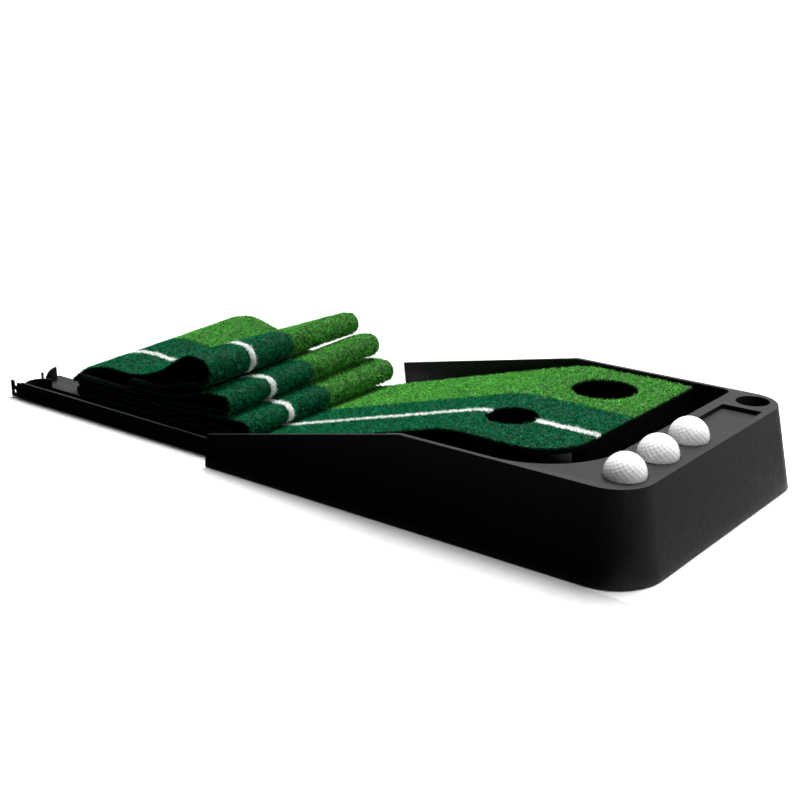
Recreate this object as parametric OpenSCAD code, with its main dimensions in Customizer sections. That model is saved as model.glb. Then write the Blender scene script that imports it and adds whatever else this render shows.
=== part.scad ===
// Practice putting mat: a ramped housing that returns the ball, a clip-on return track with a ball
// stop, a two-tone turf mat and three balls. The mat is one carpet. It lies on the housing's ramp and
// green, and the rest of it is folded in seven layers over the track.
// Lengths are in millimetres. Inside the modules X runs from the housing's open end to its end wall,
// Y from the ball-return side to the far side and Z up. placed() then moves the origin to the middle
// of the whole object's footprint.

/* [Housing] */
// Length of the housing from its open end to the foot of the end wall
housing_l = 562; // [556:1:575]
// Width of the housing at the floor
housing_w = 385; // [383:1:395]
// Height of the deck and of the level part of the rim
housing_h = 97; // [96:1:100]
// Height of the rim at the open end
front_h = 38.7; // [34:0.1:44]
// Distance from the open end to the bend in the rim
rim_bend_x = 276; // [260:1:290]
// How far the outer walls lean in over their full height
wall_lean = 14; // [10:1:15]
// Plan radius of the two end corners at the floor
corner_r = 55; // [50:1:60]
// Thickness of the moulded walls
wall = 4; // [3:0.5:4.5]

/* [Well around the green] */
// Distance from the open end to the deck's inner edge
well_end_x = 481; // [480:1:484]
// Near face of the ball-return channel at the rim
well_near_y = 19.5; // [19:0.5:21]
// Far face of the well at the rim
well_far_y = 365.5; // [364:0.5:366]
// Plan radius of the bend from the trench into the ball-return channel
well_near_r = 93.5; // [90:0.5:96]

/* [Deck] */
// Distance from the open end to the line of balls
ball_row_x = 516; // [512:1:518]
// Distance of the first ball from the near side
first_ball_y = 56.5; // [54:0.5:58]
// Spacing of the balls
ball_pitch = 65.75; // [60:0.25:68]
// Height of the ball centres
ball_z = 99; // [98:0.5:101]
// Width of the rectangular tray along X
tray_w = 46; // [40:1:46]
// Length of the rectangular tray along Y
tray_l = 102; // [90:1:104]
// Depth of the rectangular tray
tray_depth = 5; // [4:0.5:8]
// Radius of the accessory cup
cup_r = 18.7; // [16:0.1:19]
// Depth of the accessory cup
cup_depth = 34; // [20:1:40]

/* [Green] */
// Height of the level panel under the mat
green_z = 90.5; // [86:0.5:91]
// Height of the ramp panel at the open end
ramp_foot_z = 7; // [6.5:0.5:8]
// Radius of the rounded crest between the ramp and the green
crest_r = 150; // [120:10:180]
// Radius of the larger hole in the mat
large_hole_r = 38.5; // [30:0.5:39]
// Radius of the smaller hole in the mat
small_hole_r = 30; // [24:0.5:31]

/* [Mat] */
// Width of the mat
mat_w = 288; // [286:1:292]
// Thickness of the rubber backing
backing_t = 2; // [1.5:0.1:2.5]
// Height of the pile above the backing
pile_t = 5; // [4:0.1:5]
// Width of the white alignment line
line_w = 10; // [8:1:12]

/* [Ball and track] */
// Diameter of a golf ball
ball_d = 42.67; // [42.67]
// Length of the return track's near wall
track_l = 398; // [380:1:398]
// Height of the return track's near wall
track_h = 23.5; // [21:0.5:25]
// Height of the ledge that carries the edge of the mat
ledge_z = 7.8; // [7:0.1:8]

/* [Hidden] */
$fn = 64;

// Colours
shell_colour = [0.10, 0.10, 0.11];
panel_colour = [0.07, 0.07, 0.08];
steel_colour = [0.70, 0.70, 0.72];
rubber_colour = [0.05, 0.05, 0.05];
dark_green = [0.03, 0.38, 0.24];
light_green = [0.30, 0.60, 0.18];
white_pile = [0.93, 0.95, 0.93];
ball_white = [0.96, 0.96, 0.96];

// Frame: the far-left corner of the track's end reaches a little past its near wall
track_end_skew = 8;
track_left_x = -track_l - track_end_skew;
centre_x = (housing_l + track_left_x) / 2;
centre_y = housing_w / 2;
module placed() translate([-centre_x, -centre_y, 0]) children();
beyond = 1;                       // how far a cutter runs past the face that it opens
margin = 60;                      // how far the large cutters reach past the object
gap = 0.3;                        // clearance between neighbouring mouldings

// Housing
deck_t = 4;
shell_foot_z = 0.8;               // the shell's lower edge, just above the floor
corner_steps = 14;
skirt_t = 3;
far_corner_r = 12;
bowl_t = 3;
skirt_foot_z = 20;                // lowest height of the well's skirt
boss_r = 4.4;                     // the shell's screw bosses
pocket_wall = 2.5;                // wall round the tray and the cup
pocket_floor = 3;
cup_y = 343;
tray_x = ball_row_x - 22;
tray_y = 212;

// Ball-return floor: a plane that falls towards the open end and towards the near side
floor_t = 3;
floor_foot_z = 7;                 // height of the plane at the open end, on the lane's centre
fall_x = 0.050;                   // rise per unit of X
fall_y = 0.035;                   // rise per unit of Y
lane_y = 25;
floor_turn_y = -atan(fall_x);
floor_turn_x = atan(fall_y * cos(floor_turn_y));
function floor_z(x, y) = floor_foot_z + fall_x * x + fall_y * (y - lane_y);
guide_h = 14;
guide_near_y = 17;                // near face of the guide wall past the funnel
funnel_x = 60;                    // the guide walls close in on the lane from here to the open end
foot_h = 3;
foot_r = 9;
socket_r = 7;                     // sockets over the feet, and the leg under the ramp
pillar_r = 6;                     // the ramp deck's screw pillars
collar_r = 5.5;                   // collars under the return floor's screw holes
screw_seat = 6;                   // how far a screw's head lies below the return floor's surface
tall = 80;                        // height of columns that are then cut to shape
foot_points = [[40, 40], [40, 345], [250, 40], [250, 345], [468, 60], [468, 335]];
deck_screw_points = [[130, 85], [130, 345], [225, 85], [225, 345], [415, 140], [415, 345]];
// each entry is the screw's place and the top of the shell's boss that it enters
floor_screw_points = [
    [60, 12, 38], [250, 12.5, 60], [130, 372.5, 45], [330, 372, 60], [489, 135, 60], [489, 300, 60]
];
// The floor ends at these X and past these Y, because the ramp comes down to the ground there
floor_cutouts = [[105, 75], [20, 64]];
deck_leg = [40, 345];             // the foot that stands under the ramp itself

// Green and ramp
mat_near_y = 66;
mat_far_y = mat_near_y + mat_w;
mat_t = backing_t + pile_t;
panel_t = 3;
panel_end_x = 436;
mat_end_x = 437;
panel_corner_r = 57;
crest_x = 299;                    // where the ramp's and the green's planes meet
ramp_angle = atan((green_z - ramp_foot_z) / crest_x);
crest_reach = crest_r * tan(ramp_angle / 2);
crest_steps = 8;
small_hole = [331, 141];
large_hole = [362.5, 283.5];
hole_margin = 1;                  // how much wider the panel's holes are than the mat's
skirt_near_y = 68.5;
window_x = 245;                   // a wall stops holed balls here, and past it the near skirt is open
strip_w = 25;
strip_t = 1;
strip_y = 80;
strip_l = 268;
ramp_strip_at = [60, 190];        // distances along the ramp
green_strip_x = 392;

// Mat colours across its width, as fractions of the width
line_centre = 77 / 288;
line_from = line_centre - line_w / 2 / mat_w;
line_to = line_centre + line_w / 2 / mat_w;
tone_change = 151 / 288;

// Track
lane_from_y = 25.6;
track_wall = 2.5;
riser_y = 69;
ledge_far_y = 111;
lane_floor_z = 3.5;
lane_t = 2;
lane_end_x = -388;
rail_foot_z = 1;
rail_end_x = -1;
ledge_end_x = -62;                // the ledge stops here, clear of the mat's lowest fold
stop_centre = [-366, 48.6];
stop_r = 19.8;
stop_foot_z = lane_floor_z + gap;
stop_h = 16;
stop_wall = 2.5;
stop_floor = 2;
pin_x = 4;                        // the pins stand this far left of the stop's centre
pin_y = 12;                       // and this far to either side of it
pin_r = 1.9;

// Screws
screw_r = 1.75;
pilot_r = 1.85;
clear_r = 2.2;
head_r = 3.5;
head_h = 2.4;
deck_screw_l = 15;
floor_screw_l = 18;
deck_pilot_depth = 12;            // depth of the pilot holes above the return floor's surface
pilot_depth = 15;

// ---------------------------------------------------------------------------------- shared shapes

// The drafted outer body, pushed inwards by inset, between two heights. Its left end is square.
// The near corner's radius shrinks with height, and the far corner's stays the same.
function drafted_ring(inset, z, left) =
    let (
        lean = inset + wall_lean * (z - shell_foot_z) / (housing_h - shell_foot_z),
        r = corner_r - lean,
        c = housing_l - corner_r,
        far_r = corner_r - wall_lean - inset,
        far_c = lean + far_r
    )
    concat(
        [[left, lean, z]],
        [for (i = [0:corner_steps]) let (a = -90 + 90 * i / corner_steps)
            [c + r * cos(a), corner_r + r * sin(a), z]],
        [for (i = [0:corner_steps]) let (a = 90 * i / corner_steps)
            [housing_l - far_c + far_r * cos(a), housing_w - far_c + far_r * sin(a), z]],
        [[left, housing_w - lean, z]]
    );
module drafted_block(inset, z0, z1, left) {
    low = drafted_ring(inset, z0, left);
    high = drafted_ring(inset, z1, left);
    n = len(low);
    polyhedron(
        points = concat(low, high),
        faces = concat(
            [[for (i = [0:n - 1]) i]],
            [[for (i = [n - 1:-1:0]) n + i]],
            [for (i = [0:n - 1]) [i, n + i, n + (i + 1) % n, (i + 1) % n]]
        )
    );
}

// Plan of the open well, grown outwards by grow
module well_outline(grow) difference() {
    translate([-beyond, well_near_y - grow])
        square([well_end_x + beyond + grow, well_far_y - well_near_y + 2 * grow]);
    near_r = well_near_r + grow;
    far_r = far_corner_r + grow;
    difference() {
        translate([well_end_x + grow - near_r, well_near_y - grow]) square(near_r);
        translate([well_end_x + grow - near_r, well_near_y - grow + near_r]) circle(near_r, $fn = 96);
    }
    difference() {
        translate([well_end_x + grow - far_r, well_far_y + grow - far_r]) square(far_r);
        translate([well_end_x + grow - far_r, well_far_y + grow - far_r]) circle(far_r);
    }
}

// The column over the ground that the return floor leaves free, grown by grow
module floor_cutout(grow) for (c = floor_cutouts) translate([-margin, c.y - grow, -beyond])
    cube([c.x + margin + grow, housing_w, housing_h]);
// Everything below the return floor's upper plane, lowered by drop
module below_floor(drop) translate([0, 0, floor_z(0, 0) - drop])
    rotate([floor_turn_x, floor_turn_y, 0]) translate([-margin, -margin, -300]) cube([800, 600, 300]);

// ---------------------------------------------------------------------------------- housing shell

module rim_profile() translate([0, housing_w + beyond, 0]) rotate([90, 0, 0])
    linear_extrude(housing_w + 2 * beyond)
        polygon([[0, 0], [housing_l, 0], [housing_l, housing_h], [rim_bend_x, housing_h], [0, front_h]]);
module ball_places() for (i = [0:2]) translate([ball_row_x, first_ball_y + i * ball_pitch, 0]) children();
bowl_r = ball_d / 2 + 0.9;
bowl_z = ball_z + 0.6;
module bowls() ball_places() intersection() {
    translate([0, 0, bowl_z]) sphere(bowl_r + bowl_t);
    cylinder(r = bowl_r + bowl_t + beyond, h = housing_h - deck_t / 2);
}
module bowl_space() ball_places() translate([0, 0, bowl_z]) sphere(bowl_r);
module tray_space(grow, low) translate([tray_x - grow, tray_y - grow, housing_h - low])
    cube([tray_w + 2 * grow, tray_l + 2 * grow, low + beyond - grow]);
module well_skirt() difference() {
    translate([0, 0, skirt_foot_z]) linear_extrude(housing_h - deck_t / 2 - skirt_foot_z) intersection() {
        difference() {
            well_outline(skirt_t);
            well_outline(0);
        }
        translate([well_end_x - well_near_r, 0]) square([2 * well_near_r, housing_w]);
    }
    below_floor(0);
    // beside the green's far edge the skirt hangs down no further than the deck
    translate([0, well_far_y - margin, 0])
        cube([well_end_x - far_corner_r, 2 * margin, housing_h - deck_t]);
}
// Closes the space between the outer wall and the start of the skirt
module skirt_web() difference() {
    intersection() {
        translate([well_end_x - well_near_r, deck_t / 2, skirt_foot_z])
            cube([wall, well_near_y - skirt_t, housing_h - skirt_foot_z - deck_t / 2]);
        drafted_block(1, 0, housing_h, 0);
    }
    below_floor(0);
}
module floor_bosses() difference() {
    intersection() {
        for (p = floor_screw_points) {
            translate([p.x, p.y, 0]) cylinder(r = boss_r, h = p.z);
            // a rib ties each boss under the deck to the well's skirt
            if (p.x > well_end_x) translate([well_end_x + skirt_t / 2, p.y - skirt_t / 2, 0])
                cube([p.x - well_end_x - skirt_t / 2, skirt_t, p.z]);
        }
        drafted_block(wall / 2, 0, housing_h, 0);
    }
    below_floor(0);
    for (p = floor_screw_points) translate([p.x, p.y, -beyond])
        cylinder(r = pilot_r, h = floor_z(p.x, p.y) + pilot_depth);
}
module housing_shell() color(shell_colour) placed() {
    difference() {
        union() {
            difference() {
                intersection() {
                    drafted_block(0, shell_foot_z, housing_h, 0);
                    rim_profile();
                }
                drafted_block(wall, -beyond, housing_h - deck_t, -beyond);
                linear_extrude(2 * housing_h) well_outline(0);
            }
            bowls();
            intersection() {
                tray_space(pocket_wall, tray_depth + pocket_wall);
                cube([housing_l, housing_w, housing_h - beyond]);
            }
            translate([ball_row_x, cup_y, housing_h - cup_depth - pocket_floor])
                cylinder(r = cup_r + pocket_wall, h = cup_depth + pocket_floor - deck_t / 2);
            well_skirt();
            skirt_web();
        }
        bowl_space();
        tray_space(0, tray_depth);
        translate([ball_row_x, cup_y, housing_h - cup_depth]) cylinder(r = cup_r, h = cup_depth + beyond);
    }
    floor_bosses();
}

// ------------------------------------------------------------------------------------- ramp deck

// The line of the ramp, crest and green at a height d above the panel
function ramp_line(d, end_x) = concat(
    [[-d * sin(ramp_angle), ramp_foot_z + d * cos(ramp_angle)]],
    [for (i = [0:crest_steps]) let (a = 90 + ramp_angle * (1 - i / crest_steps))
        [crest_x + crest_reach + (crest_r + d) * cos(a), green_z - crest_r + (crest_r + d) * sin(a)]],
    [[end_x, green_z + d]]
);
function backwards(list) = [for (i = [len(list) - 1:-1:0]) list[i]];
// A layer of the ramp's shape between two heights above the panel and two places across
module ramp_layer(d0, d1, end_x, y0, y1) translate([0, y1, 0]) rotate([90, 0, 0])
    linear_extrude(y1 - y0) polygon(concat(ramp_line(d0, end_x), backwards(ramp_line(d1, end_x))));
// What lies outside the rounded near corner of the green
module green_corner(end_x) translate([end_x - panel_corner_r, mat_near_y - beyond, 0]) difference() {
    cube([panel_corner_r + margin, panel_corner_r + beyond, 2 * housing_h]);
    translate([0, panel_corner_r + beyond, -beyond]) cylinder(r = panel_corner_r, h = 3 * housing_h, $fn = 96);
}
module holes(extra) {
    translate([small_hole.x, small_hole.y, green_z / 2]) cylinder(r = small_hole_r + extra, h = green_z);
    translate([large_hole.x, large_hole.y, green_z / 2]) cylinder(r = large_hole_r + extra, h = green_z);
}
// The space under the panel's underside
module under_panel() translate([0, housing_w, 0]) rotate([90, 0, 0]) linear_extrude(housing_w)
    polygon(concat(ramp_line(-panel_t / 2, panel_end_x), [[panel_end_x, 0], [0, 0]]));
module strip_places() {
    for (s = ramp_strip_at) translate([0, strip_y, ramp_foot_z]) rotate([0, -ramp_angle, 0])
        translate([s, 0, -strip_t]) children();
    translate([green_strip_x, strip_y, green_z - strip_t]) children();
}
module ramp_deck() color(panel_colour) placed() difference() {
    union() {
        difference() {
            ramp_layer(-panel_t, 0, panel_end_x, mat_near_y + 1, mat_far_y + 3);
            green_corner(panel_end_x);
        }
        intersection() {
            union() {
                translate([0, skirt_near_y, 0]) cube([window_x, panel_t, housing_h]);
                translate([0, mat_far_y, 0]) cube([panel_end_x - 2, panel_t, housing_h]);
                translate([panel_end_x - 5, mat_near_y + panel_corner_r, 0])
                    cube([panel_t, mat_w - panel_corner_r, housing_h]);
                translate([window_x - panel_t, skirt_near_y, 0])
                    cube([panel_t, mat_far_y - skirt_near_y, housing_h]);
                for (p = deck_screw_points) translate([p.x, p.y, 0]) cylinder(r = pillar_r, h = housing_h);
                translate([deck_leg.x, deck_leg.y, foot_h]) cylinder(r = socket_r, h = housing_h);
            }
            under_panel();
        }
    }
    difference() {
        below_floor(0);
        floor_cutout(-gap);
    }
    translate([-beyond, 0, -beyond])
        cube([floor_cutouts[0].x + 2 * beyond, housing_w, rail_foot_z + beyond]);
    holes(hole_margin);
    for (p = deck_screw_points) translate([p.x, p.y, 0])
        cylinder(r = pilot_r, h = floor_z(p.x, p.y) + deck_pilot_depth);
    strip_places() cube([strip_w, strip_l, strip_t + beyond]);
}
module hook_strips() color(rubber_colour) placed() difference() {
    strip_places() cube([strip_w, strip_l, strip_t]);
    holes(hole_margin);
}

// ---------------------------------------------------------------------------------- return floor

floor_start_x = 0.5;
// how far the floor's near and far edges stand in from the walls, at its low and at its high end
near_edge_in = [1.3, 4.6];
far_edge_in = [3.2, 6.5];
module floor_outline() {
    run = wall + gap;
    straight_x = well_end_x - well_near_r;
    polygon([
        [floor_start_x, run + near_edge_in[0]], [straight_x, run + near_edge_in[1]],
        [straight_x, housing_w - run - far_edge_in[1]], [floor_start_x, housing_w - run - far_edge_in[0]]
    ]);
    intersection() {
        well_outline(skirt_t);
        translate([straight_x - beyond, 0]) square([2 * well_near_r, housing_w]);
    }
    for (p = floor_screw_points) if (p.x > well_end_x) translate([p.x, p.y]) circle(socket_r);
}
// Low walls that keep the ball in line with the track
guide_t = 2.5;
module lane_guides() difference() {
    intersection() {
        linear_extrude(tall) polygon([
            [floor_start_x, lane_from_y - guide_t - 0.4], [funnel_x, guide_near_y],
            [well_end_x - well_near_r, guide_near_y], [well_end_x - well_near_r, well_near_y],
            [funnel_x, well_near_y], [floor_start_x, lane_from_y - 0.4]
        ]);
        below_floor(-guide_h);
    }
    below_floor(floor_t / 2);
}
module return_floor() color(panel_colour) placed() difference() {
    union() {
        difference() {
            intersection() {
                linear_extrude(tall) floor_outline();
                below_floor(0);
            }
            below_floor(floor_t);
        }
        lane_guides();
        intersection() {
            union() {
                for (p = foot_points) translate([p.x, p.y, foot_h]) cylinder(r = socket_r, h = tall);
                for (p = concat(deck_screw_points, floor_screw_points))
                    translate([p.x, p.y, floor_z(p.x, p.y) - screw_seat])
                        cylinder(r = collar_r, h = 2 * screw_seat);
                // two ribs on either side of the track's tongue
                for (y = [33, 60]) translate([2, y, 1.2]) cube([28, guide_t, 10]);
            }
            below_floor(floor_t / 2);
            drafted_block(wall + gap, -beyond, housing_h, -beyond);
        }
    }
    floor_cutout(0);
    for (p = concat(deck_screw_points, floor_screw_points)) translate([p.x, p.y, 0])
        cylinder(r = clear_r, h = tall);
}

// ------------------------------------------------------------------------------ screws and feet

module screw(p, length) translate([p.x, p.y, floor_z(p.x, p.y) - screw_seat]) {
    translate([0, 0, -head_h]) cylinder(r = head_r, h = head_h);
    cylinder(r = screw_r, h = length);
}
module deck_screws() color(steel_colour) placed() for (p = deck_screw_points)
    screw(p, deck_screw_l);
module floor_screws() color(steel_colour) placed() for (p = floor_screw_points)
    screw(p, floor_screw_l);
module rubber_feet() color(rubber_colour) placed() for (p = foot_points)
    translate([p.x, p.y, 0]) cylinder(r = foot_r, h = foot_h);

// ------------------------------------------------------------------------------------------- mat

// The folded part is a ruled surface between two edge curves, each drawn in X and Z through the
// middle of the mat's thickness. Both start at the foot of the ramp, run left as the lowest layer,
// and turn back and forth. A layer is level at its left end and eases to its height at the right.
mid = mat_t / 2;
turn_r = 3.8;
turn_x = [-303, -301, -198];
level_to_x = -150;
rise_from_x = [-60, -145, -164];   // where the layer under each nose starts to rise
nose_steps = 10;
turn_steps = 6;
layer_steps = 12;
near_heights = [12.9, 20.5, 27.6, 35.2, 42.3, 49.9];
far_heights = [3.8, 11.4, 18.7, 26.3, 33.6, 41.2];
// centre x, centre z and mid-surface radius of the three right-hand noses, from the lowest
near_noses = [[-1, 27.3, 8.5], [-33, 52.5, 10], [-72, 86, 16.5]];
far_noses = [[-15, 31, 13], [-39, 63.5, 12.5], [-75, 87.5, 12.5]];
near_lead = [[-15, 9.9], [-35, 11], [-60, 12.9]];
far_lead = [[-15, 6.4], [-35, 3.8], [-60, 3.8]];
near_top = [
    [-72, 102.5], [-86, 103.3], [-99, 99.5], [-112, 92.5], [-127, 84], [-145, 73.5],
    [-174, 62], [-210, 55.5], [-247, 55], [-277, 50.5], [-304, 42.3], [-332, 24]
];
far_top = [
    [-75, 100], [-86, 98], [-96, 94], [-116, 83.5], [-138, 71], [-160, 60],
    [-190, 52], [-222, 51], [-250, 57], [-276, 60.5], [-306, 54.5], [-337, 42]
];
top_steps = 2;
top_skew = 12;                    // how far the end of the top layer has slid towards the far side

function ease(t) = t <= 0 ? 0 : t >= 1 ? 1 : t * t * (3 - 2 * t);
function layer(x0, z0, x1, z1, from_x) = [
    for (i = [1:layer_steps - 1]) let (x = x0 + (x1 - x0) * i / layer_steps)
        [x, z0 + (z1 - z0) * ease((x - from_x) / (x1 - from_x))]
];
function nose(n) = [
    for (i = [0:nose_steps]) let (a = -90 + 180 * i / nose_steps) [n.x + n.z * cos(a), n.y + n.z * sin(a)]
];
function left_turn(x, z) = [
    for (i = [0:turn_steps]) let (a = -90 - 180 * i / turn_steps)
        [x + turn_r * cos(a), z + turn_r + turn_r * sin(a)]
];
function blend(a, b, c, d, t) = (
    2 * b + (c - a) * t + (2 * a - 5 * b + 4 * c - d) * t * t + (3 * b - a - 3 * c + d) * t * t * t
) / 2;
function smooth(p) = let (last = len(p) - 1) [
    for (i = [0:last - 1], k = [1:top_steps])
        blend(
            i == 0 ? p[0] + [20, 0] : p[i - 1], p[i], p[i + 1],
            i == last - 1 ? 2 * p[last] - p[last - 1] : p[i + 2], k / top_steps
        )
];
function ramp_step(s) = [-mid * sin(ramp_angle), ramp_foot_z + mid * cos(ramp_angle)]
    - s * [cos(ramp_angle), sin(ramp_angle)];
function fold(h, n, k) = concat(
    left_turn(turn_x[k], h[2 * k]),
    layer(turn_x[k], h[2 * k + 1], n[k].x, n[k].y - n[k].z, rise_from_x[k]),
    nose(n[k]),
    k == 2 ? [] : backwards(layer(turn_x[k + 1], h[2 * k + 2], n[k].x, n[k].y + n[k].z, level_to_x))
);
function folded_edge(lead, h, n, top) = concat(
    [ramp_step(0), ramp_step(2)],
    lead,
    [for (x = [-130, -200]) [x, h[0]]],
    fold(h, n, 0), fold(h, n, 1), fold(h, n, 2),
    smooth(top)
);
near_edge = folded_edge(near_lead, near_heights, near_noses, near_top);
far_edge = folded_edge(far_lead, far_heights, far_noses, far_top);
stations = len(near_edge);
top_stations = (len(near_top) - 1) * top_steps;
function edge_mix(i, v) = near_edge[i] * (1 - v) + far_edge[i] * v;
function slid(i) = top_skew * ease((i - (stations - top_stations)) / top_stations);
function mat_point(i, v, d) =
    let (
        along = edge_mix(min(i + 1, stations - 1), v) - edge_mix(max(i - 1, 0), v),
        unit = along / norm(along),
        p = edge_mix(i, v)
    )
    [p.x + unit.y * (d - mid), mat_near_y + v * mat_w + slid(i), p.y - unit.x * (d - mid)];
// The folded part of a layer of the mat, between two heights and across the given columns, which
// are fractions of the width. Neighbouring layers share their columns and diagonals, so they meet.
module folded_strip(columns, d0, d1) {
    m = len(columns);
    n = 2 * m;
    points = [
        for (i = [0:stations - 1]) each concat(
            [for (v = columns) mat_point(i, v, d0)],
            [for (v = columns) mat_point(i, v, d1)]
        )
    ];
    last = n * (stations - 1);
    polyhedron(points = points, faces = concat(
        [for (c = [0:m - 2]) each [[c, m + c, c + 1], [c + 1, m + c, m + c + 1]]],
        [for (c = [0:m - 2]) each [
            [last + c, last + c + 1, last + m + c], [last + c + 1, last + m + c + 1, last + m + c]
        ]],
        [for (i = [0:stations - 2], c = [0:m - 2]) let (a = n * i + c, b = a + m) each [
            [a, a + 1, a + 1 + n], [a, a + 1 + n, a + n],
            [b, b + 1 + n, b + 1], [b, b + n, b + 1 + n]
        ]],
        [for (i = [0:stations - 2]) let (a = n * i, b = n * i + m - 1) each [
            [a, a + n, a + m], [a + n, a + m + n, a + m],
            [b, b + m, b + n], [b + n, b + m, b + m + n]
        ]]
    ));
}
module mat_strip(columns, d0, d1) {
    difference() {
        ramp_layer(d0, d1, mat_end_x, mat_near_y + columns[0] * mat_w,
            mat_near_y + columns[len(columns) - 1] * mat_w);
        holes(0);
        green_corner(mat_end_x);
    }
    folded_strip(columns, d0, d1);
}
module mat_backing() color(rubber_colour) placed()
    mat_strip([0, line_from, line_to, tone_change, 1], 0, backing_t);
module dark_turf_edge() color(dark_green) placed() mat_strip([0, line_from], backing_t, mat_t);
module alignment_line() color(white_pile) placed() mat_strip([line_from, line_to], backing_t, mat_t);
module dark_turf_inner() color(dark_green) placed() mat_strip([line_to, tone_change], backing_t, mat_t);
module light_turf() color(light_green) placed() mat_strip([tone_change, 1], backing_t, mat_t);

// ----------------------------------------------------------------------------------------- track

eye = [-391, 9];
eye_r = 2.8;
notch = [-392.5, 16.5, 7];        // the notch's left side, foot and width
step_l = 12;                      // the wall is a little lower past the notch
end_block_y = 36;                 // the space between it and the near wall is for the next peg's head
fin_x = lane_end_x - 3.5;
fin_y = 95;
fin_r = 19;
fin_t = 3;
post_w = 2.5;
post_h = 16.5;
module near_wall() difference() {
    translate([-track_l, lane_from_y, rail_foot_z])
        cube([track_l + rail_end_x, track_wall, track_h - rail_foot_z]);
    // eye that takes the next section's peg, and the notch that leaves a hook above it
    translate([0, lane_from_y - beyond, 0]) {
        cut_w = track_wall + 2 * beyond;
        translate([eye.x, 0, eye.y]) rotate([-90, 0, 0]) cylinder(r = eye_r, h = cut_w);
        translate([notch[0], 0, notch[1]]) cube([notch[2], cut_w, track_h]);
        translate([-track_l + step_l, 0, track_h - 2]) cube([10, cut_w, track_h]);
    }
}
module end_block() translate([0, 0, rail_foot_z]) linear_extrude(ledge_z - rail_foot_z) polygon([
    [-track_l + 2, end_block_y], [lane_end_x + 1, end_block_y],
    [lane_end_x + 1, ledge_far_y], [track_left_x, ledge_far_y]
]);
module end_block_hollow() translate([0, 0, rail_foot_z - beyond]) linear_extrude(ledge_z - rail_foot_z - 1)
    polygon([
        [-track_l + 4, end_block_y + 2], [lane_end_x - 2, end_block_y + 2],
        [lane_end_x - 2, ledge_far_y - 2], [track_left_x + 5, ledge_far_y - 2]
    ]);
// Upright fin and post that hold the end of the mat in line when it is unrolled
module end_fin() {
    intersection() {
        translate([fin_x, fin_y, ledge_z]) rotate([0, 90, 0]) cylinder(r = fin_r, h = fin_t);
        translate([fin_x, fin_y - 2 * fin_r, ledge_z - beyond]) cube([fin_t, 2 * fin_r, 2 * fin_r]);
    }
    translate([fin_x - 2, riser_y + 3, ledge_z - beyond]) cube([post_w, post_w, post_h]);
}
rib_places = [-340:60:-80];
tongue = [32, 20, 2];
tongue_root = 10;                 // how much of the tongue lies in the lane's floor
tongue_y = 37;
module track_rail() color(shell_colour) placed() difference() {
    union() {
        near_wall();
        translate([lane_end_x, lane_from_y + track_wall / 2, lane_floor_z - lane_t])
            cube([rail_end_x - lane_end_x, riser_y - lane_from_y - track_wall / 2 + lane_t, lane_t]);
        translate([lane_end_x, riser_y, lane_floor_z - lane_t])
            cube([ledge_end_x - lane_end_x, lane_t, ledge_z - lane_floor_z + lane_t]);
        translate([lane_end_x - beyond, riser_y, ledge_z - lane_t])
            cube([ledge_end_x - lane_end_x + beyond, ledge_far_y - riser_y, lane_t]);
        translate([lane_end_x, ledge_far_y - lane_t, rail_foot_z])
            cube([ledge_end_x - lane_end_x, lane_t, ledge_z - rail_foot_z]);
        for (x = rib_places) translate([x, riser_y, rail_foot_z])
            cube([lane_t, ledge_far_y - riser_y, ledge_z - rail_foot_z - lane_t / 2]);
        difference() {
            end_block();
            end_block_hollow();
        }
        end_fin();
        // tongue that slides under the housing's return floor
        translate([rail_end_x - tongue_root, tongue_y, lane_floor_z - lane_t]) cube(tongue);
    }
    for (y = [-pin_y, pin_y]) translate([stop_centre.x - pin_x, stop_centre.y + y, -beyond])
        cylinder(r = pin_r + gap, h = lane_floor_z + 2 * beyond);
}
pad_r = 6;
pad_points = [[-300, 90], [-180, 90], [-90, 90], [-300, 48], [-150, 48], [-30, 48]];
module track_pads() color(rubber_colour) placed() for (p = pad_points)
    translate([p.x, p.y, 0])
        cylinder(r = pad_r, h = (p.y > riser_y ? ledge_z : lane_floor_z) - lane_t);

// ------------------------------------------------------------------------------------- ball stop

module ball_stop() color(panel_colour) placed() translate([stop_centre.x, stop_centre.y, stop_foot_z]) {
    difference() {
        cylinder(r = stop_r, h = stop_h);
        translate([0, 0, stop_floor]) cylinder(r = stop_r - stop_wall, h = stop_h);
        translate([0, -margin / 2, -beyond]) cube([margin, margin, stop_h + 2 * beyond]);
    }
    for (y = [-pin_y, pin_y]) translate([-pin_x, y, -lane_floor_z + gap / 2])
        cylinder(r = pin_r, h = lane_floor_z + stop_floor / 4);
}

// ----------------------------------------------------------------------------------------- balls

core_r = 19.6;
core_gap = 0.05;
module ball_at(i) translate([ball_row_x, first_ball_y + (i - 1) * ball_pitch, ball_z]) children();
module ball_cover(i) color(ball_white) placed() ball_at(i) difference() {
    sphere(d = ball_d);
    sphere(r = core_r + core_gap);
}
module ball_core(i) color(rubber_colour) placed() ball_at(i) sphere(r = core_r);

housing_shell();
ramp_deck();
return_floor();
deck_screws();
floor_screws();
rubber_feet();
hook_strips();
mat_backing();
dark_turf_edge();
alignment_line();
dark_turf_inner();
light_turf();
track_rail();
track_pads();
ball_stop();
ball_cover(1);  // ball_cover_1
ball_cover(2);  // ball_cover_2
ball_cover(3);  // ball_cover_3
ball_core(1);  // ball_core_1
ball_core(2);  // ball_core_2
ball_core(3);  // ball_core_3
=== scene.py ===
"""Looks of the practice putting mat: the moulded housing and track, the folded mat with its pile,
and the golf balls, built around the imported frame. Sizes are in millimetres and in the housing's own
frame (X from its open end to its end wall, Y from the ball-return side to the far side, Z up) until
row_frame() turns them into the frame's metres."""
import math

import bmesh
import bpy
import numpy as np
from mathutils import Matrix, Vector
from mathutils.kdtree import KDTree


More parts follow.
